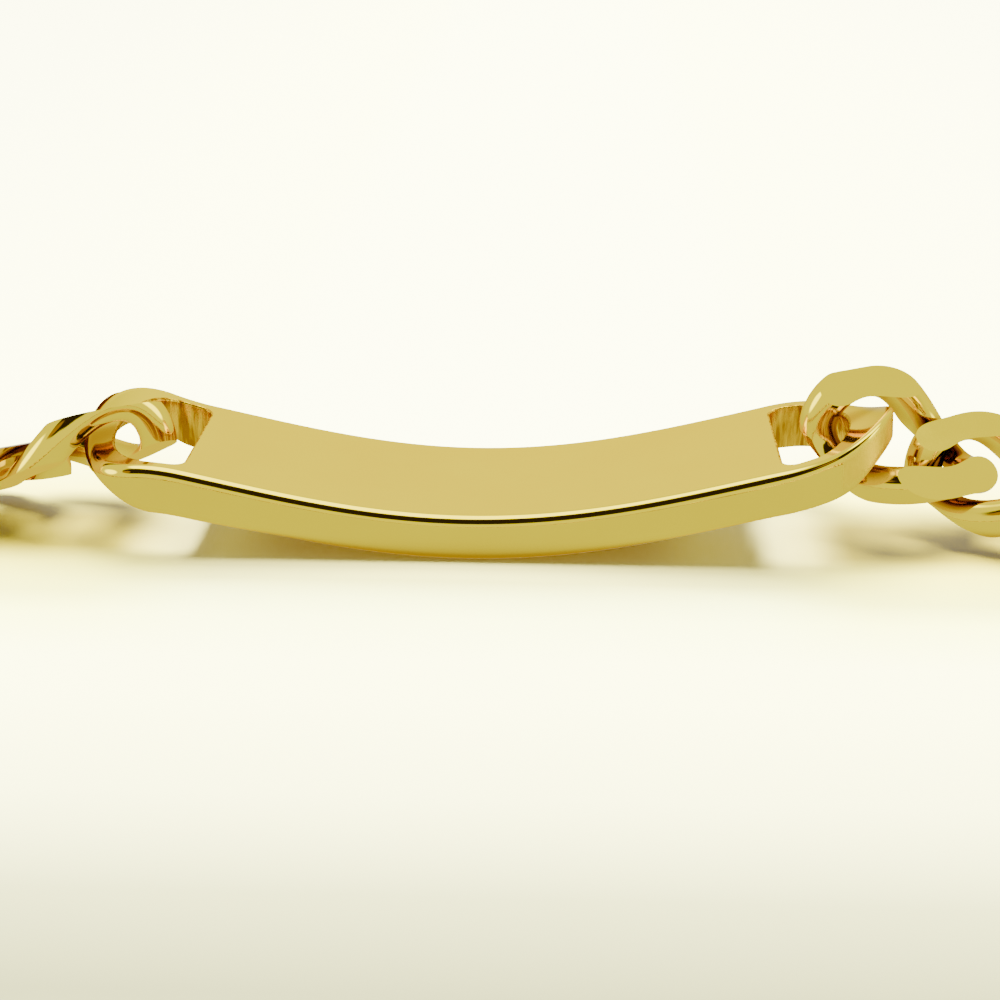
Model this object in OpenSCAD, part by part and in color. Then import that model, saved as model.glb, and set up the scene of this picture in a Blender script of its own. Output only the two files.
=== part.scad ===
// Identity bracelet lying on its outer face: a curved name plate with a slot near each end,
// two runs of flat-filed curb links that close in a loop, and one plain clasp between them.
// The plate's long side runs along X, its curve opens upwards, and the loop lies on the
// plane Z = 0 with its middle over the origin.

/* [Name plate] */
// Length of the plate from tip to tip
plate_len = 43; // [40:0.5:47]
// Width of the plate
plate_w = 11; // [10.6:0.2:12]
// Thickness of the plate
plate_t = 2.45; // [2.3:0.05:2.55]
// How far the tips rise above the middle of the plate
plate_rise = 3.6; // [3.4:0.1:3.9]
// Slope of the whole plate along its length, in degrees: the right end lies higher
plate_cant = 0.9; // [0:0.1:1.2]
// Length of each rounded end, measured along the plate
tip_len = 3.6; // [3.2:0.1:4]
// Slope across the plate at its right tip, in degrees: the ends are twisted like half links
right_twist = 20; // [19:1:21]
// Slope across the plate at its left tip, in degrees
left_twist = 17; // [16:1:18]
// How far the right tip curls up beyond the plate's own curve
right_curl = 0.75; // [0.6:0.05:0.8]
// How far the left tip curls up beyond the plate's own curve, or down where negative
left_curl = -0.25; // [-0.4:0.05:-0.2]
// Thickness lost at the right tip, taken off underneath
right_thin = 0.6; // [0.55:0.05:0.8]
// Thickness lost at the left tip, taken off underneath
left_thin = 1.9; // [1.6:0.05:2]
// Extra thickness underneath, between the plate's left part and its left slot
left_swell = 0.2; // [0:0.05:0.25]
// Bevel along the plate's four long edges
edge_bevel = 0.2; // [0.1:0.05:0.25]

/* [Slots] */
// Width of each slot, across the plate
slot_w = 8.8; // [8.4:0.1:9]
// Metal left beyond each slot, at the middle of the tip
strip_w = 1.65; // [1.55:0.05:1.7]
// Length of each slot, along the plate
slot_len = 4.3; // [4.1:0.1:4.6]
// Corner radius at the inner end of each slot
slot_corner = 0.8; // [0.5:0.1:1]
// Draft of each slot's outer wall, in degrees: the strip is narrower underneath
slot_draft = 29; // [28:1:31]

/* [Links] */
// Outer length of one link
link_len = 11.2; // [11:0.1:11.3]
// Outer width of one link
link_w = 8.1; // [8.1:0.05:8.3]
// Diameter of the wire before filing
wire_d = 2.1; // [2:0.05:2.1]
// Twist of a link between its middle and each end, in degrees
link_twist = 57; // [56:1:59]
// Thickness of the chain between its filed faces
chain_t = 2.1; // [2.05:0.05:2.2]
// Distance from one link to the next
pitch = 6.2; // [6.15:0.05:6.25]
// Number of links on each side of the plate
side_links = 14; // [14:1:15]

/* [Clasp] */
// Length of the clasp between the two links that it holds
clasp_len = 16.5; // [15.5:0.5:18]
// Width of the clasp's body
clasp_w = 8.8; // [8.6:0.1:9.4]
// Thickness of the clasp's body
clasp_t = 2.9; // [2.8:0.1:3.4]
// Corner radius of the clasp's body, seen from above
clasp_corner = 1.6; // [1:0.1:2.4]

/* [Lie of the chain] */
// Height of the right run's first joint above the middle of the plate's right tip
right_over = 0.75; // [0.7:0.05:0.8]
// Height of the left run's first joint above the middle of the plate's left tip
left_over = 0.65; // [0.6:0.05:0.75]
// Lean of the first right link, near side down, in degrees
right_lean = 34; // [33:1:35]
// Lean of the first left link, near side up, in degrees
left_lean = 25; // [24:1:27]

/* [Hidden] */
// Links of the right run count away from the plate, then those of the left run
RIGHT = [for (k = [1:side_links]) str("link_right_", k)];
LEFT = [for (k = [1:side_links]) str("link_left_", k)];
gold = [0.93, 0.76, 0.28];

// Plate: half sizes, and where its rounded ends and its twist begin
half_len = plate_len / 2;
half_w = plate_w / 2;
side_end = half_len - tip_len;
slot_out = half_len - strip_w;
slot_in = slot_out - slot_len;
// Share of the plate's curve that flattens towards the tips
bow_flat = 0.68;
// Roundness of the tips: 0.5 is an ellipse, 1 is a gable
tip_power = 0.5;
tip_w = 0.7;
curl_power = 3;
twist_power = 2;
// Share of each end that keeps the plate's full thickness
right_full = 0.5;
left_full = 0.25;
// Distance from the plate's middle where the left swell begins
swell_start = 9;
plate_steps = 44;
corner_steps = 4;
bow_steps = 10;
// Thickness of the two slabs that each slot's cutter is stretched between
slab = 0.1;

function rise(x) =
    let (u = x / half_len)
    plate_rise * ((1 + bow_flat) * u * u - bow_flat * pow(u, 4));
function outline(x, start, end, half) =
    let (v = min(1, max(0, (abs(x) - start) / (end - start))))
    half * pow(1 - v * v, tip_power);
function end_share(x) = max(0, (abs(x) - slot_in) / (half_len - slot_in));
function curl(x) = (x > 0 ? right_curl : left_curl) * pow(end_share(x), curl_power);
function eased(v) = let (s = max(0, min(1, v))) s * s * (3 - 2 * s);
// Thickness of the plate, which eases down to its value at each tip
function thickness(x) =
    x > 0 ? plate_t - right_thin * eased((end_share(x) - right_full) / (1 - right_full))
    : plate_t - left_thin * eased((end_share(x) - left_full) / (1 - left_full))
        + left_swell * eased((-x - swell_start) / (slot_in - swell_start));
// The twist tilts the ends about the plate's long middle line
function tilt(x) = (x > 0 ? tan(right_twist) : -tan(left_twist)) * pow(end_share(x), twist_power);
// The cant moves the plate's lowest point off its middle; this puts it back on the floor
cant_dip = pow(tan(plate_cant) * half_len, 2) / (4 * (1 + bow_flat) * plate_rise);
function plate_z(x, y) = cant_dip + tan(plate_cant) * x + rise(x) + curl(x) - tilt(x) * y;

// Links: the wire's centre line is an oval, squared a little and twisted about its length
half_a = (link_len - wire_d) / 2;
half_b = (link_w - wire_d) / 2;
oval_power = 0.9;
ring_steps = 16;
wire_sides = 6;
wire_r = wire_d / 2;
half_t = chain_t / 2;

function squared(v) = sign(v) * pow(abs(v), oval_power);
function wire_at(t) =
    let (x = half_a * squared(cos(t)), r = half_b * squared(sin(t)), turn = -link_twist * x / half_a)
    [x, r * cos(turn), r * sin(turn)];
function unit(v) = v / norm(v);
// One ring of points round the wire, filed off at the chain's upper and lower faces
function wire_ring(t, file) =
    let (
        p = wire_at(t),
        along = unit(wire_at(t + 1) - wire_at(t - 1)),
        turn = -link_twist * p.x / half_a,
        side = unit(cross(along, [0, -sin(turn), cos(turn)])),
        up = cross(side, along)
    )
    [for (i = [0:wire_sides - 1])
        let (q = 360 * i / wire_sides, v = p + wire_r * (cos(q) * side + sin(q) * up))
        [v.x, v.y, max(-file, min(file, v.z))]];

// Lie of the chain: how much of its lift is left at each joint, away from the plate
SETTLE = [1, 0.52, 0.28, 0.12, 0.04, 0];
tip_x = half_len - strip_w / 2;
right_lift = plate_z(tip_x, 0) + plate_t / 2 + right_over - half_t;
left_lift = plate_z(-tip_x, 0) + plate_t / 2 + left_over - half_t;
// Lie of the chain: share of the first link's lean that each link after it keeps
LEAN = [1, 0.65, 0.4, 0.2, 0.05, 0];
function share_of(table, i) = table[min(i, len(table) - 1)];
function lift(k, top) = top * share_of(SETTLE, k);
function drop_angle(k, top) = asin((lift(k - 1, top) - lift(k, top)) / pitch);
function middle_lift(k, top) =
    max((lift(k - 1, top) + lift(k, top)) / 2, link_len / 2 * sin(drop_angle(k, top)));
// No link leans so far that its lower edge would pass the floor
function lean(k, top, first) =
    min(first * share_of(LEAN, k - 1), asin(min(1, middle_lift(k, top) / (link_w / 2))));

// Plan of the loop: each link's heading turns from the plate's line back to the clasp's.
// belly shifts the turn towards the plate until the two runs meet the clasp.
straight_part = 0.8;
early_turn = 0.06;
function share(k) = max(0, k - 1 - straight_part) / (side_links - straight_part);
function heading(k, belly) =
    let (s = share(k))
    180 * (s + early_turn * sin(360 * s) + belly * pow(sin(180 * s), 2));
function reach(k, top) = pitch * cos(drop_angle(k, top));
function total(v, i = 0) = i < len(v) ? v[i] + total(v, i + 1) : 0;
function run_x(k, top, belly) =
    joint_x + total([for (i = [1:1:k]) reach(i, top) * cos(heading(i, belly))]);
function run_y(k, top, belly) =
    total([for (i = [1:1:k]) -reach(i, top) * sin(heading(i, belly))]);
// The belly that closes the loop, found by halving
function close_belly(top, low = -0.3, high = 0.5, tries = 30) =
    let (mid = (low + high) / 2)
    tries == 0 ? mid
    : run_x(side_links, top, mid) > clasp_len / 2
        ? close_belly(top, mid, high, tries - 1)
        : close_belly(top, low, mid, tries - 1);

// The first link hangs on the strip beyond the slot, its joint this far inside the strip's middle
joint_in = 1.4;
joint_x = tip_x - joint_in;
right_belly = close_belly(right_lift);
left_belly = close_belly(left_lift);
right_depth = run_y(side_links, right_lift, right_belly);
left_depth = run_y(side_links, left_lift, left_belly);
front_y = (right_depth + left_depth) / 2;
plate_y = (clasp_w / 2 - front_y - half_w) / 2;

// Clasp: the body covers the inner half of a loop at each end
loop_x = (clasp_len - pitch) / 2;
clasp_gap = 0.3;
// The fixed links at the clasp's ends are filed a little thinner than the chain
loop_share = 0.93;
loop_file = loop_share * half_t;

module plate() {
    xs = [for (i = [0:plate_steps]) half_len * cos(180 * i / plate_steps)];
    b = edge_bevel;
    // One section of the plate; where the plate is twisted its sides stay square to its top
    function section(x) =
        let (w = max(tip_w / 2, outline(x, side_end, half_len, half_w)),
             c = thickness(x),
             turn = atan(tilt(x)))
        [for (p = [[-w, c - b], [-w + b, c], [w - b, c], [w, c - b],
                   [w, b], [w - b, 0], [-w + b, 0], [-w, b]])
            [x, p[0] - p[1] * sin(turn), plate_z(x, p[0]) + plate_t - p[1] * cos(turn)]];
    color(gold)
    translate([0, plate_y, 0])
    difference() {
        tube([for (x = xs) section(x)], false);
        for (m = [0, 1]) mirror([m, 0, 0]) slot();
    }
}

// Cutter for one slot, leaning outwards as it goes down through the strip's middle height
module slot() {
    middle = plate_z(slot_out, 0) + plate_t / 2;
    reach_up = 2 * plate_t;
    hull() for (s = [-1, 1])
        translate([0, 0, middle + s * reach_up])
        linear_extrude(height = slab, center = true)
        slot_outline(slot_out - s * reach_up * tan(slot_draft));
}

module slot_outline(out) {
    half = slot_w / 2;
    corner = [for (i = [0:corner_steps]) let (q = 180 + 90 * i / corner_steps)
        [slot_in + slot_corner * (1 + cos(q)), -half + slot_corner * (1 + sin(q))]];
    start = side_end - strip_w / 2;
    bow = [for (i = [0:bow_steps]) let (x = start + (out - start) * sin(90 * i / bow_steps))
        [x, -outline(x, start, out, half)]];
    near = concat(corner, bow);
    far = [for (i = [len(near) - 2:-1:0]) [near[i].x, -near[i].y]];
    polygon(concat(near, far));
}

// A closed skin over rings of points, as a ring that meets itself or as a bar with two ends
module tube(rings, closed) {
    n = len(rings);
    m = len(rings[0]);
    last = closed ? n - 1 : n - 2;
    sides = [for (i = [0:last], j = [0:m - 1])
        let (a = i * m + j, b = i * m + (j + 1) % m, c = ((i + 1) % n) * m + (j + 1) % m,
             d = ((i + 1) % n) * m + j)
        each [[a, b, c], [a, c, d]]];
    ends = closed ? [] : concat([[for (j = [m - 1:-1:0]) j]], [[for (j = [0:m - 1]) (n - 1) * m + j]]);
    polyhedron(points = [for (r = rings) each r], faces = concat(sides, ends), convexity = 6);
}

module curb_link(file) {
    tube([for (i = [0:ring_steps - 1]) wire_ring(360 * i / ring_steps, file)], true);
}

// Places a link of one run: side is 1 for the right run and -1 for the left
module placed_link(k, side, top, first, belly) {
    turn = heading(k, belly);
    x = (run_x(k - 1, top, belly) + run_x(k, top, belly)) / 2;
    y = (run_y(k - 1, top, belly) + run_y(k, top, belly)) / 2;
    color(gold)
    translate([side * x, plate_y + y, half_t + middle_lift(k, top)])
    rotate([0, 0, -side * turn])
    rotate([0, side * drop_angle(k, top), 0])
    rotate([side * lean(k, top, first), 0, 0])
    curb_link(half_t);
}

module clasp() {
    body = 2 * (loop_x - clasp_gap);
    r = clasp_corner;
    outline = [for (c = [[1, 1, 0], [-1, 1, 90], [-1, -1, 180], [1, -1, 270]], i = [0:corner_steps])
        let (q = c[2] + 90 * i / corner_steps)
        [c[0] * (body / 2 - r) + r * cos(q), c[1] * (clasp_w / 2 - r) + r * sin(q)]];
    color(gold)
    translate([0, plate_y + front_y, 0]) {
        linear_extrude(height = clasp_t) polygon(outline);
        for (s = [-1, 1]) translate([s * loop_x, 0, half_t]) curb_link(loop_file);
    }
}

plate();
clasp();
for (k = [1:side_links]) {
    placed_link(k, 1, right_lift, right_lean, right_belly);
    placed_link(k, -1, left_lift, left_lean, left_belly);
}
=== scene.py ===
"""An id bracelet lying on a pale table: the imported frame, with a detailed piece for each solid."""
import bmesh
import bpy
import math
import numpy as np
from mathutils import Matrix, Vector
from mathutils.geometry import delaunay_2d_cdt

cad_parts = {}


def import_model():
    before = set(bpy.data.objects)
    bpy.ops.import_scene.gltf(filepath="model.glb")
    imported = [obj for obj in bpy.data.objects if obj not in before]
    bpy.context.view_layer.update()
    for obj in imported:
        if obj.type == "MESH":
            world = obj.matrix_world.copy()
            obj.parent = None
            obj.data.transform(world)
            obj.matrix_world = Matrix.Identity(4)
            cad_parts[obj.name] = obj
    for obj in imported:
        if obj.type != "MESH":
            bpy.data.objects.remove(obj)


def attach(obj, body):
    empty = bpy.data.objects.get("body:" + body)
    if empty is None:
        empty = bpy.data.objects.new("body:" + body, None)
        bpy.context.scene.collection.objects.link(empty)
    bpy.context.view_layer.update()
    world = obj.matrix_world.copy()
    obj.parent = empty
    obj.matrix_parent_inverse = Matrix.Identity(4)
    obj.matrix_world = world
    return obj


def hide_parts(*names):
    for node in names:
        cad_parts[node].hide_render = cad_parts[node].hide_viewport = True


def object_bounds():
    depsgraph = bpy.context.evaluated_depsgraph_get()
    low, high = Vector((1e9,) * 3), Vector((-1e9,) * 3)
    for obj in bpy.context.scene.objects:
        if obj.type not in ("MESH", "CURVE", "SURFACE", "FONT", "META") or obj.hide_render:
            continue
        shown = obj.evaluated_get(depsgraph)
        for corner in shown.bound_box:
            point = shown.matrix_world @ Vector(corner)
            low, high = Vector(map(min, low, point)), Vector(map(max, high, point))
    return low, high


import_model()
cad_lo, cad_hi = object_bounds()
MM = 0.001  # metres in a millimetre

# The values of the CAD source, under the same names, in millimetres and degrees
plate_len = 43
plate_w = 11
plate_t = 2.45
plate_rise = 3.6  # of the tips above the plate's middle
plate_cant = 0.9  # slope of the whole plate, up to the right
tip_len = 3.6
right_twist = 20  # slope across the plate at its tips
left_twist = 17
right_curl = 0.75  # of the tips, beyond the plate's own curve
left_curl = -0.25
right_thin = 0.6  # thickness lost at the tips, underneath
left_thin = 1.9
left_swell = 0.2  # thickness gained underneath, toward the left slot
slot_w = 8.8
strip_w = 1.65  # metal beyond each slot
slot_len = 4.3
slot_corner = 0.8
slot_draft = 29  # slant of each slot's outer wall
link_len = 11.2
link_w = 8.1
wire_d = 2.1
link_twist = 57  # between a link's middle and each end
chain_t = 2.1  # between the filed faces
pitch = 6.2
side_links = 14
clasp_len = 16.5
clasp_w = 8.8
clasp_t = 2.9
clasp_corner = 1.6
right_over = 0.75  # height of each run's first joint above the plate's tip
left_over = 0.65
right_lean = 34  # of the first link
left_lean = 25
bow_flat = 0.68  # share of the plate's curve that flattens toward the tips
curl_power = 3
twist_power = 2
right_full = 0.5  # share of each end that keeps the plate's full thickness
left_full = 0.25
swell_start = 9  # from the plate's middle
oval_power = 0.9  # squares a link's oval a little
SETTLE = [1, 0.52, 0.28, 0.12, 0.04, 0]  # share of a run's lift that is left at each joint
LEAN = [1, 0.65, 0.4, 0.2, 0.05, 0]  # share of the first link's lean that each link keeps
straight_part = 0.8  # links of each run that lie in the plate's line
early_turn = 0.06
joint_in = 1.4  # of the first joint from the strip's middle
clasp_gap = 0.3
loop_share = 0.93  # of the chain's thickness, on the clasp's fixed links

half_len = plate_len / 2
half_w = plate_w / 2
half_t = chain_t / 2
side_end = half_len - tip_len
slot_out = half_len - strip_w
slot_in = slot_out - slot_len
half_a = (link_len - wire_d) / 2
half_b = (link_w - wire_d) / 2
wire_r = wire_d / 2
tip_x = half_len - strip_w / 2
joint_x = tip_x - joint_in

# The plate's finer mesh, in millimetres
plate_edge = 0.6  # rounding of the outer edges
edge_loss = 0.27  # lost from that rounding at the right tip
edge_loss_start = 14  # from the plate's middle
edge_loss_run = 6  # over which the loss eases in
slot_edge = 0.14  # rounding of the slots' edges
edge_steps = 9
wall_steps = 6
side_step = 0.3  # longest step along the straight sides
tip_points = 61  # on each quarter of the rounded ends
corner_points = 7  # on each rounded corner of a slot
bow_points = 41  # on each half of a slot's bowed wall
slant_tries = 6  # rounds that settle where a slanting wall meets the faces
grid_step = 0.5
grid_shift = (0.013, 0.007)  # keeps grid points out of line with the outlines
rim_gap = 0.28  # least distance from a grid point to an outline
soft_start = 0.4  # from the end of the straight sides to the softer finish
same_digits = 4  # points that agree to as many decimals are one

# The links' and the clasp's finer meshes: rings along the wire and sides round it
FINE = (144, 64)
PLAIN = (72, 36)
fine_links = 3  # of each run, which the camera sees from near
link_round = 0.95  # radius of the round wire, as a share of the CAD wire's
loop_round = 0.97  # the same, on the clasp
skin_gap = 0.002  # left inside the CAD box, above and below the links
clasp_edge = 0.35
clasp_corner_steps = 8
clasp_edge_points = 7

# The materials of a piece, in the order of its slots
POLISHED, CAST, SOFT = range(3)


# Angles are in degrees


def tan(d):
    return math.tan(math.radians(d))


def sin(d):
    return math.sin(math.radians(d))


def cos(d):
    return math.cos(math.radians(d))


def unit(v):
    return v / np.linalg.norm(v, axis=-1, keepdims=True)


# The plate's shape, as in the CAD source


def end_share(x):
    return np.maximum(0, (np.abs(x) - slot_in) / (half_len - slot_in))


def tilt(x):
    return np.where(x > 0, tan(right_twist), -tan(left_twist)) * end_share(x) ** twist_power


cant_dip = (tan(plate_cant) * half_len) ** 2 / (4 * (1 + bow_flat) * plate_rise)


def plate_z(x, y):
    u = x / half_len
    rise = plate_rise * ((1 + bow_flat) * u * u - bow_flat * u ** 4)
    curl = np.where(x > 0, right_curl, left_curl) * end_share(x) ** curl_power
    return cant_dip + tan(plate_cant) * x + rise + curl - tilt(x) * y


def eased(v):
    s = np.clip(v, 0, 1)
    return s * s * (3 - 2 * s)


def thickness(x):
    right = right_thin * eased((end_share(x) - right_full) / (1 - right_full))
    left = left_thin * eased((end_share(x) - left_full) / (1 - left_full))
    swell = left_swell * eased((-x - swell_start) / (slot_in - swell_start))
    return plate_t - np.where(x > 0, right, left - swell)


def plate_point(x, y, d):
    """A point of the plate at plan place x, y of its top face and depth d below that face."""
    turn = np.arctan(tilt(x))
    return np.stack([x, y - d * np.sin(turn), plate_z(x, y) + plate_t - d * np.cos(turn)], -1)


def top_normal(x, y):
    h = 0.01
    zx = (plate_z(x + h, y) - plate_z(x - h, y)) / (2 * h)
    zy = (plate_z(x, y + h) - plate_z(x, y - h)) / (2 * h)
    return unit(np.stack([-zx, -zy, np.ones_like(zx)], -1))


# The lie of the chain, as in the CAD source


def share_of(table, i):
    return table[min(i, len(table) - 1)]


def lift(k, top):
    return top * share_of(SETTLE, k)


def drop_angle(k, top):
    return math.degrees(math.asin((lift(k - 1, top) - lift(k, top)) / pitch))


def middle_lift(k, top):
    return max((lift(k - 1, top) + lift(k, top)) / 2, link_len / 2 * sin(drop_angle(k, top)))


def lean(k, top, first):
    most = math.degrees(math.asin(min(1, middle_lift(k, top) / (link_w / 2))))
    return min(first * share_of(LEAN, k - 1), most)


def heading(k, belly):
    s = max(0, k - 1 - straight_part) / (side_links - straight_part)
    return 180 * (s + early_turn * sin(360 * s) + belly * sin(180 * s) ** 2)


def run(k, top, belly):
    """Plan place of joint k of one run: its distance to the side of the plate's middle, and its y."""
    steps = [(pitch * cos(drop_angle(i, top)), heading(i, belly)) for i in range(1, k + 1)]
    return joint_x + sum(r * cos(h) for r, h in steps), -sum(r * sin(h) for r, h in steps)


def close_belly(top):
    """The belly with which a run ends at the clasp, found by halving."""
    low, high, halvings = -0.3, 0.5, 40
    for _ in range(halvings):
        mid = (low + high) / 2
        if run(side_links, top, mid)[0] > clasp_len / 2:
            low = mid
        else:
            high = mid
    return mid


right_lift = float(plate_z(np.array(tip_x), 0)) + plate_t / 2 + right_over - half_t
left_lift = float(plate_z(np.array(-tip_x), 0)) + plate_t / 2 + left_over - half_t
bellies = {1: close_belly(right_lift), -1: close_belly(left_lift)}
front_y = (run(side_links, right_lift, bellies[1])[1] + run(side_links, left_lift, bellies[-1])[1]) / 2
plate_y = (clasp_w / 2 - front_y - half_w) / 2


# Materials


def node(tree, kind, **values):
    """A new shader node, with values for its inputs and its own settings."""
    n = tree.nodes.new(kind)
    for key, value in values.items():
        if key in n.inputs:
            n.inputs[key].default_value = value
        else:
            setattr(n, key, value)
    return n


def put(tree, socket, value):
    """Links an output to the socket, or sets a colour or a number on it."""
    if isinstance(value, bpy.types.NodeSocket):
        tree.links.new(value, socket)
    else:
        socket.default_value = (*value, 1) if isinstance(value, tuple) else value


def mixed(tree, amount, a, b, **settings):
    mix = node(tree, "ShaderNodeMix", data_type="RGBA", **settings)
    put(tree, mix.inputs["Factor"], amount)
    put(tree, mix.inputs["A"], a)
    put(tree, mix.inputs["B"], b)
    return mix.outputs["Result"]


def ranged(tree, value, low, high, to_low=0.0, to_high=1.0, **settings):
    """The value, stretched so that low to high becomes to_low to to_high, and held there beyond."""
    n = node(tree, "ShaderNodeMapRange", **settings)
    put(tree, n.inputs["Value"], value)
    n.inputs["From Min"].default_value = low
    n.inputs["From Max"].default_value = high
    n.inputs["To Min"].default_value = to_low
    n.inputs["To Max"].default_value = to_high
    return n.outputs["Result"]


def new_material(name):
    mat = bpy.data.materials.new(name)
    mat.use_nodes = True
    return mat, mat.node_tree, mat.node_tree.nodes["Principled BSDF"]


def gold_material(name, deep, pale, patch, spread, rough_low, rough_high, bumps, stretch=(1, 1, 1)):
    """Plated metal: tone, roughness and surface vary a little, and shade is painted into the tone, deeper
    in recesses.
    """
    mat, tree, bsdf = new_material(name)
    bsdf.inputs["Metallic"].default_value = 1
    bsdf.inputs["Specular Tint"].default_value = (1, 0.8, 0.0, 1)
    place = node(tree, "ShaderNodeTexCoord")
    where = node(tree, "ShaderNodeMapping", Scale=stretch)
    put(tree, where.inputs["Vector"], place.outputs["Object"])

    def noise(**values):
        n = node(tree, "ShaderNodeTexNoise", **values)
        put(tree, n.inputs["Vector"], where.outputs["Vector"])
        return n.outputs["Fac"]

    patches = ranged(tree, noise(Scale=patch, Detail=3.0, Roughness=0.55), 0.5 - spread, 0.5 + spread)
    tone = mixed(tree, patches, deep, pale)
    # Painted shade: where ambient occlusion finds the piece's own recesses, the base colour turns a deep
    # orange-brown
    recess = node(tree, "ShaderNodeAmbientOcclusion", samples=8, Distance=0.0018)
    openness = ranged(tree, recess.outputs["AO"], 0.35, 0.95, interpolation_type="SMOOTHSTEP")
    recess_painted_shade = (0.45, 0.24, 0.001)
    put(tree, bsdf.inputs["Base Color"], mixed(tree, openness, recess_painted_shade, tone))
    polish = noise(Scale=900.0, Detail=4.0, Roughness=0.6)
    put(tree, bsdf.inputs["Roughness"], ranged(tree, polish, 0.3, 0.7, rough_low, rough_high))
    last = None
    for scale, detail, strength, distance in bumps:
        bump = node(tree, "ShaderNodeBump", Strength=strength, Distance=distance)
        put(tree, bump.inputs["Height"], noise(Scale=scale, Detail=detail, Roughness=0.6))
        if last is not None:
            put(tree, bump.inputs["Normal"], last.outputs["Normal"])
        last = bump
    put(tree, bsdf.inputs["Normal"], last.outputs["Normal"])
    return mat


DEEP_GOLD = (0.98, 0.77, 0.001)
PALE_GOLD = (1.0, 0.80, 0.002)
# Layers of bumps: scale and detail of the noise, then strength and depth in metres
POLISHED_BUMPS = [(260.0, 2.0, 0.15, 0.00005), (2600.0, 3.0, 0.08, 0.00001)]
CAST_BUMPS = [(2600.0, 4.0, 0.9, 0.0001), (500.0, 3.0, 0.7, 0.0002)]

gold = gold_material("gold", DEEP_GOLD, PALE_GOLD, patch=180.0, spread=0.2,
                     rough_low=0.05, rough_high=0.10, bumps=POLISHED_BUMPS)
cast_gold = gold_material("cast_gold", (0.38, 0.17, 0.001), (1.0, 0.68, 0.002), patch=2600.0, spread=0.1,
                          rough_low=0.14, rough_high=0.30, bumps=CAST_BUMPS, stretch=(1, 1, 0.12))
soft_gold = gold_material("soft_gold", DEEP_GOLD, PALE_GOLD, patch=180.0, spread=0.2,
                          rough_low=0.28, rough_high=0.34, bumps=POLISHED_BUMPS)


# Mesh helpers


def mesh_piece(name, verts, faces, normals, node_name, kinds=None, flats=None):
    """A smooth mesh, in millimetres, that stands for one CAD node; flats marks faces with crisp edges."""
    me = bpy.data.meshes.new(name)
    verts, normals = np.asarray(verts), np.asarray(normals)
    tri = np.array([f[:3] for f in faces])
    across = np.cross(verts[tri[:, 1]] - verts[tri[:, 0]], verts[tri[:, 2]] - verts[tri[:, 0]])
    turned_in = (across * normals[tri].sum(1)).sum(1) < 0
    flats = [False] * len(faces) if flats is None else flats
    faces = [f[::-1] if back and not flat else f for f, back, flat in zip(faces, turned_in, flats)]
    me.from_pydata((verts * MM).tolist(), [], faces)
    me.shade_smooth()
    corners = []
    for poly, face, flat in zip(me.polygons, faces, flats):
        corners += [poly.normal[:] if flat else normals[i] for i in face]
    me.normals_split_custom_set(np.array(corners).tolist())
    ob = bpy.data.objects.new(name, me)
    bpy.context.scene.collection.objects.link(ob)
    for mat in (gold, cast_gold, soft_gold):
        me.materials.append(mat)
    if kinds is not None:
        me.polygons.foreach_set("material_index", kinds)
    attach(ob, "root")
    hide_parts(node_name)


def ring_faces(n, m):
    """Quads of a closed tube of n rings with m points each."""
    i, j = np.meshgrid(np.arange(n), np.arange(m), indexing="ij")
    a = i * m + j
    b = i * m + (j + 1) % m
    c = ((i + 1) % n) * m + (j + 1) % m
    d = ((i + 1) % n) * m + j
    return np.stack([a, b, c, d], -1).reshape(-1, 4).tolist()


def turned(axis, degrees):
    c, s = cos(degrees), sin(degrees)
    return np.array({"x": [[1, 0, 0], [0, c, -s], [0, s, c]],
                     "y": [[c, 0, s], [0, 1, 0], [-s, 0, c]],
                     "z": [[c, -s, 0], [s, c, 0], [0, 0, 1]]}[axis])


class Skin:
    """A mesh in the making: points, their normals, faces and the material of each face."""

    def __init__(self):
        self.points = []
        self.normals = []
        self.faces = []
        self.kinds = []
        self.count = 0

    def add(self, points, normals, faces, kind):
        self.points.append(points)
        self.normals.append(normals)
        self.faces += [[self.count + i for i in face] for face in faces]
        self.kinds += [kind] * len(faces)
        self.count += len(points)

    def band(self, rows, kind, flip, sign=1, first_normal=None):
        """Quads between closed rows of points, with normals from the shape of the rows."""
        rows = np.array(rows)
        k = len(rows[0])
        ahead = np.roll(rows, -1, 1) - np.roll(rows, 1, 1)
        n = unit(np.cross(np.gradient(rows, axis=0), ahead)) * sign
        if first_normal is not None:
            n[0] = first_normal
        quads = []
        for s in range(len(rows) - 1):
            for i in range(k):
                a, b = s * k + i, s * k + (i + 1) % k
                quad = [a, b, b + k, a + k]
                quads.append(quad[::-1] if flip else quad)
        self.add(rows.reshape(-1, 3), n.reshape(-1, 3), quads, kind)

    def joined(self):
        """Points, normals, faces and kinds, with like points made one and lost faces left out."""
        v, n = np.concatenate(self.points), np.concatenate(self.normals)
        key = np.round(v, same_digits)
        _, first, which = np.unique(key, axis=0, return_index=True, return_inverse=True)
        which = which.ravel()
        faces, kinds = [], []
        for face, kind in zip(self.faces, self.kinds):
            f = [int(which[i]) for i in face]
            f = [a for i, a in enumerate(f) if a != f[i - 1]]
            if len(set(f)) >= 3:
                faces.append(f)
                polished = kind == SOFT and v[face[0], 0] < side_end + soft_start
                kinds.append(POLISHED if polished else kind)
        return v[first], n[first], faces, kinds


# The name plate


def dense(pts, step):
    """Points along an open line, at most a step apart."""
    out = [pts[0]]
    for a, b in zip(pts[:-1], pts[1:]):
        n = max(1, math.ceil(math.dist(a, b) / step))
        out += [tuple(np.add(a, np.subtract(b, a) * i / n)) for i in range(1, n + 1)]
    return out


def outer_loop():
    """The plate's outline in plan, counter-clockwise, so that its left is inward."""
    quarter = [(side_end + tip_len * math.sin(s), -half_w * math.cos(s))
               for s in np.linspace(0, math.pi / 2, tip_points)]
    half = dense([(0, -half_w), quarter[0]], side_step) + quarter[1:]
    near = [(-x, y) for x, y in half[:0:-1]] + half
    far = [(x, -y) for x, y in near[-2:0:-1]]
    return np.array(near + far)


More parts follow.
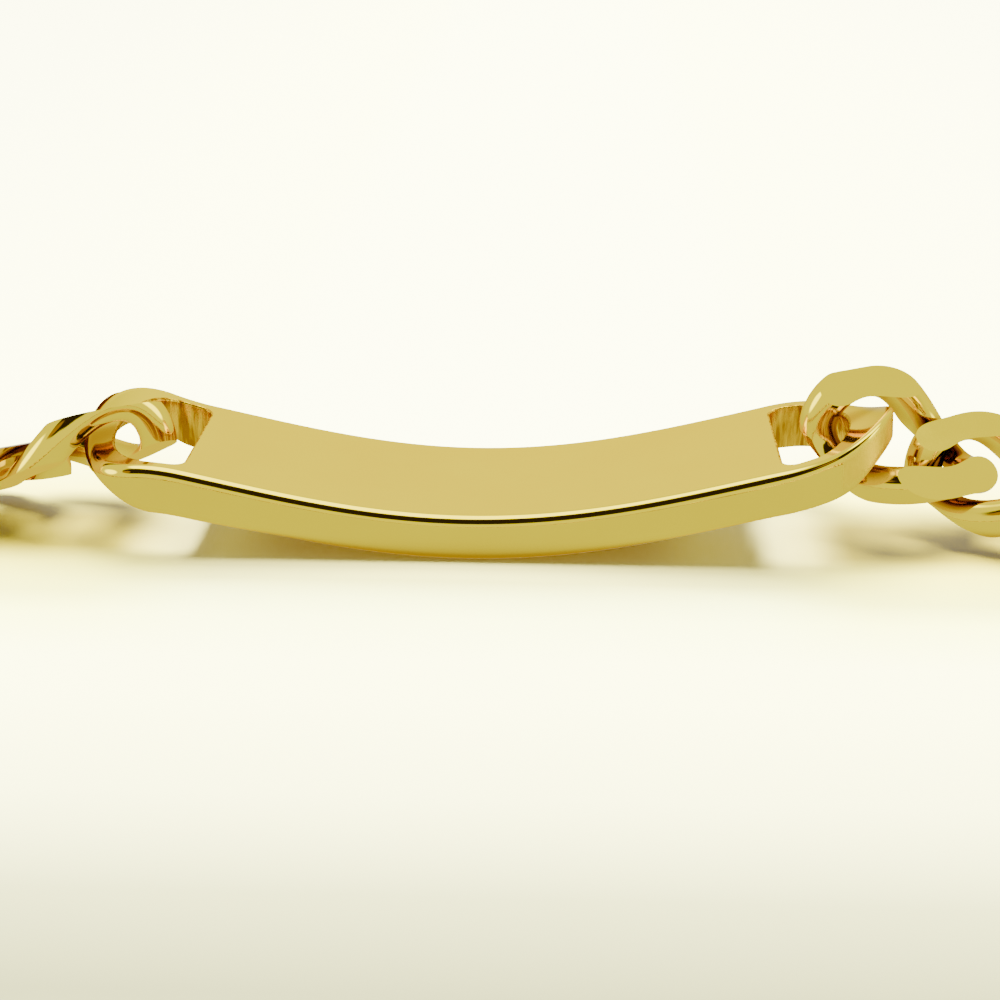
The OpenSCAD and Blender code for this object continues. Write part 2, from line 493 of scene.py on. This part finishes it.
def slot_loop(out):
    """The slot's outline where its outer wall stands at out, one value for each point."""
    half = slot_w / 2
    start = side_end - strip_w / 2
    corner = [(slot_in + slot_corner * (1 + math.cos(a)), -half + slot_corner * (1 + math.sin(a)))
              for a in np.radians(np.linspace(180, 270, corner_points))]
    near_n = len(corner) + bow_points
    total_n = 2 * near_n - 1
    out = np.broadcast_to(out, total_n)
    pts = np.zeros((total_n, 2))
    for i, (x, y) in enumerate(corner):
        pts[i] = x, y
        pts[total_n - 1 - i] = x, -y
    for i in range(len(corner), near_n):
        s = (i - len(corner)) / (bow_points - 1) * math.pi / 2
        for j, sign in ((i, 1), (total_n - 1 - i, -1)):
            pts[j] = start + (out[j] - start) * math.sin(s), -sign * half * math.cos(s)
    return pts


def slot_rims(sign):
    """One slot's outlines in the top and lower faces, clockwise, so that metal lies on their left."""
    middle = plate_z(np.array(slot_out), 0) + plate_t / 2
    rims = []
    for low in (0, 1):
        out = slot_out
        for _ in range(slant_tries):
            loop = slot_loop(out)
            x, y = sign * loop[:, 0], loop[:, 1]
            z = plate_point(x, y, thickness(x) * low)[:, 2]
            out = slot_out - (z - middle) * tan(slot_draft)
        rims.append(np.stack([x, y], -1)[::-sign])
    return rims


def offset_loop(loop, amount):
    """The loop moved to its left by amount, as seen along it."""
    ahead = unit(np.roll(loop, -1, 0) - np.roll(loop, 1, 0))
    return loop + np.reshape(amount, (-1, 1)) * np.stack([-ahead[:, 1], ahead[:, 0]], -1)


def inside(pts, loop):
    x, y = pts[:, 0:1], pts[:, 1:2]
    a, b = loop, np.roll(loop, -1, 0)
    crosses = ((a[:, 1] > y) != (b[:, 1] > y))
    with np.errstate(divide="ignore", invalid="ignore"):
        at = (b[:, 0] - a[:, 0]) * (y - a[:, 1]) / (b[:, 1] - a[:, 1]) + a[:, 0]
    return (crosses & (x < at)).sum(1) % 2 == 1


def away_from(pts, loop, gap):
    return np.linalg.norm(pts[:, None] - loop[None], axis=-1).min(1) > gap


def add_face(skin, rim, holes, low):
    """The plate's top face, or its lower one, as triangles between its rim and the slots' holes."""
    grid = np.array([(x, y) for x in np.arange(-half_len, half_len, grid_step)
                     for y in np.arange(-half_w, half_w, grid_step)]) + grid_shift
    ok = inside(grid, rim) & away_from(grid, rim, rim_gap)
    for hole in holes:
        ok &= ~inside(grid, hole) & away_from(grid, hole, rim_gap)
    pts = np.concatenate([rim] + holes + [grid[ok]])
    edges, at = [], 0
    for loop in [rim] + holes:
        n = len(loop)
        edges += [(at + i, at + (i + 1) % n) for i in range(n)]
        at += n
    got, _, tris, *_ = delaunay_2d_cdt([Vector(p) for p in pts.tolist()], edges, [], 0, 1e-7)
    got = np.array([(v[0], v[1]) for v in got])
    tris = np.array([list(f) for f in tris])
    middles = got[tris].mean(1)
    keep = inside(middles, rim)
    for hole in holes:
        keep &= ~inside(middles, hole)
    tris = tris[keep]
    x, y = got[:, 0], got[:, 1]
    normals = top_normal(x, y)
    if low:
        normals, tris = -normals, tris[:, ::-1]
    skin.add(plate_point(x, y, thickness(x) * low), normals, tris.tolist(), POLISHED)


def add_edge(skin, loop, radius, low, kind):
    """The rounded edge between a face and the wall round one loop, in the top or the lower face."""
    rows = []
    for s in range(edge_steps + 1):
        a = math.pi / 2 * s / edge_steps
        flat = offset_loop(loop, radius * (1 - math.sin(a)))
        d = radius * (1 - math.cos(a))
        x, y = flat[:, 0], flat[:, 1]
        rows.append(plate_point(x, y, thickness(x) - d if low else d + 0 * x))
    rim = offset_loop(loop, radius)
    sign = -1 if low else 1
    skin.band(rows, kind, not low, sign, top_normal(rim[:, 0], rim[:, 1]) * sign)


def add_wall(skin, high_edge, low_edge, kind):
    """The wall from one edge's last points down to the other's."""
    rows = [high_edge + (low_edge - high_edge) * s / wall_steps for s in range(wall_steps + 1)]
    skin.band(rows, kind, True)


def make_plate():
    skin = Skin()
    outer = outer_loop()
    x, y = outer[:, 0], outer[:, 1]
    edge = plate_edge - edge_loss * eased((x - edge_loss_start) / edge_loss_run)
    add_edge(skin, outer, edge, 0, POLISHED)
    add_edge(skin, outer, edge, 1, SOFT)
    add_wall(skin, plate_point(x, y, edge), plate_point(x, y, thickness(x) - edge), SOFT)
    holes = ([], [])
    for sign in (1, -1):
        high, low = slot_rims(sign)
        holes[0].append(offset_loop(high, slot_edge))
        holes[1].append(offset_loop(low, slot_edge))
        add_edge(skin, high, slot_edge, 0, CAST)
        add_edge(skin, low, slot_edge, 1, CAST)
        add_wall(skin, plate_point(high[:, 0], high[:, 1], slot_edge),
                 plate_point(low[:, 0], low[:, 1], thickness(low[:, 0]) - slot_edge), CAST)
    for low in (0, 1):
        add_face(skin, offset_loop(outer, edge), holes[low], low)
    v, n, faces, kinds = skin.joined()
    mesh_piece("name_plate", v + (0, plate_y, 0), faces, n, "plate", kinds)


# The links and the clasp


def squared(v):
    return np.sign(v) * np.abs(v) ** oval_power


def wire_twist(x):
    return np.radians(-link_twist * x / half_a)


def wire_at(degrees):
    """The wire's centre line: an oval, squared a little and twisted about its length."""
    t = np.radians(degrees)
    x = half_a * squared(np.cos(t))
    q = half_b * squared(np.sin(t))
    return np.stack([x, q * np.cos(wire_twist(x)), q * np.sin(wire_twist(x))], -1)


def wire_tube(rings, sides, r):
    """Points of round wire along the centre line, and the direction of each away from that line."""
    t = np.arange(rings) * 360 / rings
    p = wire_at(t)
    along = unit(wire_at(t + 1) - wire_at(t - 1))
    turn = wire_twist(p[:, 0])
    flat = np.stack([np.zeros_like(turn), -np.sin(turn), np.cos(turn)], -1)
    side = unit(np.cross(along, flat))
    up = np.cross(side, along)
    q = (np.arange(sides) * 2 * math.pi / sides)[:, None]
    away = (np.cos(q) * side[:, None] + np.sin(q) * up[:, None]).reshape(-1, 3)
    return np.repeat(p, sides, 0) + r * away, away


def link_mesh(rings, sides, r, file):
    """One curb link, filed flat above and below: points, faces, normals and which faces are filed."""
    points, away = wire_tube(rings, sides, r)
    bm = bmesh.new()
    kept = bm.verts.layers.float_vector.new("away")
    made = [bm.verts.new(point) for point in points.tolist()]
    for vert, n in zip(made, away.tolist()):
        vert[kept] = n
    for f in ring_faces(rings, sides):
        bm.faces.new([made[i] for i in f])
    bmesh.ops.recalc_face_normals(bm, faces=bm.faces[:])
    filed = set()
    for way in (-1, 1):
        cut = bmesh.ops.bisect_plane(bm, geom=bm.verts[:] + bm.edges[:] + bm.faces[:], dist=1e-6,
                                     plane_co=(0, 0, way * file), plane_no=(0, 0, way), clear_outer=True)
        rim = [e for e in cut["geom_cut"] if isinstance(e, bmesh.types.BMEdge)]
        filed |= set(bmesh.ops.holes_fill(bm, edges=rim)["faces"])
    bmesh.ops.recalc_face_normals(bm, faces=bm.faces[:])
    bm.verts.index_update()
    v = np.array([vert.co[:] for vert in bm.verts])
    n = unit(np.array([vert[kept][:] for vert in bm.verts]))
    faces = [[vert.index for vert in f.verts] for f in bm.faces]
    flats = [f in filed for f in bm.faces]
    bm.free()
    return v, faces, n, flats


def make_run(side, name, top, first, fine, plain):
    belly = bellies[side]
    for k in range(1, side_links + 1):
        v, faces, n, flats = fine if k <= fine_links else plain
        (x0, y0), (x1, y1) = run(k - 1, top, belly), run(k, top, belly)
        spin = (turned("z", -side * heading(k, belly)) @ turned("y", side * drop_angle(k, top))
                @ turned("x", side * lean(k, top, first)))
        at = np.array([side * (x0 + x1) / 2, plate_y + (y0 + y1) / 2, half_t + middle_lift(k, top)])
        placed = v @ spin.T + at
        placed[:, 2] = np.clip(placed[:, 2], skin_gap, cad_hi[2] / MM - skin_gap)
        mesh_piece(f"curb_link_{name}_{k}", placed, faces, n @ spin.T, f"link_{name}_{k}", flats=flats)


def make_links():
    fine = link_mesh(*FINE, link_round * wire_r, half_t)
    plain = link_mesh(*PLAIN, link_round * wire_r, half_t)
    make_run(1, "right", right_lift, right_lean, fine, plain)
    make_run(-1, "left", left_lift, left_lean, fine, plain)


def make_clasp():
    loop_x = (clasp_len - pitch) / 2
    half_body = loop_x - clasp_gap
    r, edge = clasp_corner, clasp_edge
    loop = []
    for cx, cy, q0 in ((1, 1, 0), (-1, 1, 90), (-1, -1, 180), (1, -1, 270)):
        for i in range(clasp_corner_steps + 1):
            q = q0 + 90 * i / clasp_corner_steps
            loop.append((cx * (half_body - r) + r * cos(q), cy * (clasp_w / 2 - r) + r * sin(q)))
    loop = np.array(loop)
    ahead = unit(np.roll(loop, -1, 0) - np.roll(loop, 1, 0))
    out = np.stack([ahead[:, 1], -ahead[:, 0]], -1)
    # Each row round the body: how far it lies in from the outline, its height and its normal's slope
    rows = [(edge * (1 - sin(a)), edge * (1 - cos(a)), a - 90)
            for a in np.linspace(0, 90, clasp_edge_points)]
    rows += [(inset, clasp_t - z, -slope) for inset, z, slope in rows[::-1]]
    k = len(loop)
    v = np.concatenate([np.column_stack([loop - inset * out, np.full(k, z)]) for inset, z, _ in rows])
    n = np.concatenate([np.column_stack([out * cos(a), np.full(k, sin(a))]) for _, _, a in rows])
    faces = [[s * k + i, s * k + (i + 1) % k, (s + 1) * k + (i + 1) % k, (s + 1) * k + i]
             for s in range(len(rows) - 1) for i in range(k)]
    faces += [list(range(k))[::-1], list(range((len(rows) - 1) * k, len(rows) * k))]
    loop_v, loop_faces, loop_n, filed = link_mesh(*PLAIN, loop_round * wire_r, loop_share * half_t)
    flats = [False] * len(faces) + 2 * filed
    for s in (-1, 1):
        faces += [[i + len(v) for i in f] for f in loop_faces]
        v = np.concatenate([v, loop_v + (s * loop_x, 0, half_t)])
        n = np.concatenate([n, loop_n])
    mesh_piece("clasp_body", v + (0, plate_y + front_y, 0), faces, n, "clasp", flats=flats)


# Floor, light and camera


def colour_ramp(tree, value, low, high, stops):
    """Colours along a value between low and high, from stops of a place on it and the colour there."""
    tone = node(tree, "ShaderNodeValToRGB")
    put(tree, tone.inputs["Fac"], ranged(tree, value, low, high))
    while len(tone.color_ramp.elements) < len(stops):
        tone.color_ramp.elements.new(0.5)
    for e, (at, colour) in zip(tone.color_ramp.elements, stops):
        e.position = (at - low) / (high - low)
        e.color = (*colour, 1)
    return tone.outputs["Color"]


# Painted shade: the table's paleness at places along Y, in metres, from the camera's side to the back,
# darker in front of the bracelet
PAINTED_SHADE_ALONG_Y = [(-0.050, 0.85), (-0.028, 0.24), (-0.016, 0.16), (-0.010, 0.28), (-0.003, 0.62), (0.005, 0.80),
            (0.030, 0.93)]
table_blue = 0.5  # its blue, as a share of its red and green
# Painted shadow of the bracelet, warmed with painted gold reflected light, at places along Y: under the
# plate's middle, and to both sides of that
MIDDLE_PAINTED_SHADOW = [
    (0.0090, (1.0, 1.0, 0.82)), (0.0135, (0.88, 0.92, 0.66)), (0.0158, (0.70, 0.73, 0.48)),
    (0.0178, (0.46, 0.45, 0.24)), (0.0194, (0.50, 0.47, 0.25)), (0.0207, (1.0, 0.92, 0.50)),
    (0.0290, (1.0, 0.94, 0.60)), (0.0360, (1.0, 1.0, 1.0))]
SIDE_PAINTED_SHADOW = [
    (0.0090, (1.0, 1.0, 0.82)), (0.0135, (0.88, 0.90, 0.50)), (0.0160, (0.62, 0.62, 0.26)),
    (0.0195, (0.62, 0.58, 0.14)), (0.0216, (0.36, 0.29, 0.02)), (0.0255, (0.40, 0.32, 0.02)),
    (0.0300, (0.80, 0.75, 0.26)), (0.0400, (1.0, 1.0, 0.92))]
# Where, on either side of the plate's middle, the first painted shadow gives way and the painted shade
# ends
MIDDLE_END = [(0.0135, (1, 1, 1)), (0.0195, (0, 0, 0))]
SHADE_END = [(0.028, (1, 1, 1)), (0.065, (0, 0, 0))]
FAR_TABLE = (0.85, 0.85, 0.43)


def table_material():
    """A pale top, with painted shade and painted warm gold reflected light round the bracelet in its base
    colour.
    """
    mat, tree, bsdf = new_material("table")
    bsdf.inputs["Roughness"].default_value = 0.4
    where = node(tree, "ShaderNodeTexCoord")
    split = node(tree, "ShaderNodeSeparateXYZ")
    put(tree, split.inputs["Vector"], where.outputs["Object"])
    side = node(tree, "ShaderNodeMath", operation="ABSOLUTE")
    put(tree, side.inputs[0], split.outputs["X"])
    along, aside = split.outputs["Y"], side.outputs["Value"]
    # Painted shade along Y, darkest a little in front of the bracelet
    plain = colour_ramp(tree, along, -0.060, 0.040, [(at, (v, v, table_blue * v)) for at, v in PAINTED_SHADE_ALONG_Y])
    # Painted shadow and painted warm gold reflection round the bracelet, multiplied into the painted shade
    middle = colour_ramp(tree, along, 0.005, 0.045, MIDDLE_PAINTED_SHADOW)
    side_shadow = colour_ramp(tree, along, 0.005, 0.045, SIDE_PAINTED_SHADOW)
    tint = mixed(tree, colour_ramp(tree, aside, 0.0, 0.05, MIDDLE_END), side_shadow, middle)
    shaded = mixed(tree, 1, plain, tint, blend_type="MULTIPLY")
    whole = mixed(tree, colour_ramp(tree, aside, 0.0, 0.08, SHADE_END), FAR_TABLE, shaded)
    put(tree, bsdf.inputs["Base Color"], whole)
    return mat


def stage_floor():
    half = 3.0  # metres
    corners = [(-half, -half, 0), (half, -half, 0), (half, half, 0), (-half, half, 0)]
    me = bpy.data.meshes.new("table_top")
    me.from_pydata(corners, [], [(0, 1, 2, 3)])
    me.materials.append(table_material())
    ob = bpy.data.objects.new("table_top", me)
    bpy.context.scene.collection.objects.link(ob)
    ob.visible_glossy = False


SKY = (1.15, 1.15, 1.15)
BACK_SKY = (1.5, 1.5, 1.5)
BELOW = (1.0, 1.0, 1.0)
BRIGHT = (4.6, 4.6, 4.2)
BROWN = (0.42, 0.24, 0.04)
DARK = (0.03, 0.018, 0.008)
dark_height = 53  # degrees above the table


def sky_patches():
    """Each patch's colour, its direction, and the angles from it at which it ends and is whole."""
    patches = [(BACK_SKY, (0, 0.93, 0.37), 27, 5), (BRIGHT, (0, 0.25, 0.97), 27, 18),
               (BELOW, (0, 0, -1), 90, 82)]
    for turn in (-30, 0, 30):
        ahead = -cos(turn) * cos(dark_height)
        patches.append((DARK, (sin(turn) * cos(dark_height), ahead, sin(dark_height)), 26, 22))
    for s in (-1, 1):
        patches.append((BROWN, (0.5 * s, -0.5, 0.60), 12, 8))
        patches.append((BRIGHT, (0.95 * s, -0.15, 0.3), 17, 11))
    return patches


def world():
    """A pale room: brightest overhead and at both sides, dark high up on the camera's side."""
    w = bpy.data.worlds.new("studio")
    bpy.context.scene.world = w
    w.use_nodes = True
    tree = w.node_tree
    where = node(tree, "ShaderNodeTexCoord")
    sky = SKY
    for colour, direction, ends, whole in sky_patches():
        dot = node(tree, "ShaderNodeVectorMath", operation="DOT_PRODUCT")
        put(tree, dot.inputs[0], where.outputs["Generated"])
        dot.inputs[1].default_value = Vector(direction).normalized()
        amount = ranged(tree, dot.outputs["Value"], cos(ends), cos(whole), interpolation_type="SMOOTHSTEP")
        sky = mixed(tree, amount, sky, colour)
    back = tree.nodes["Background"]
    put(tree, back.inputs["Color"], sky)
    back.inputs["Strength"].default_value = 1.0


def lamp(name, at, look, size, power):
    data = bpy.data.lights.new(name, "AREA")
    data.shape = "SQUARE"
    data.size = size
    data.energy = power
    ob = bpy.data.objects.new(name, data)
    bpy.context.scene.collection.objects.link(ob)
    ob.location = at
    ob.rotation_mode = "QUATERNION"
    ob.rotation_quaternion = (Vector(look) - Vector(at)).to_track_quat("-Z", "Y")
    ob.visible_glossy = False


def camera():
    """The photograph's view, with places in metres and angles in degrees."""
    behind, height, aside = 0.09269, 0.03878, 0.00491
    down, yaw = 22.0, -2.53
    data = bpy.data.cameras.new("camera")
    data.lens = 66.14
    data.sensor_width = 36
    data.clip_start = 0.002
    data.clip_end = 20
    ob = bpy.data.objects.new("camera", data)
    bpy.context.scene.collection.objects.link(ob)
    ob.location = (aside, plate_y * MM - behind, height)
    ahead = Vector((sin(yaw) * cos(down), cos(yaw) * cos(down), -sin(down)))
    ob.rotation_mode = "QUATERNION"
    ob.rotation_quaternion = ahead.to_track_quat("-Z", "Y")
    bpy.context.scene.camera = ob


make_plate()
make_links()
make_clasp()
stage_floor()
world()
lamp("key", at=(0.05, 0.25, 0.6), look=(0, 0.02, 0), size=0.5, power=75)
camera()
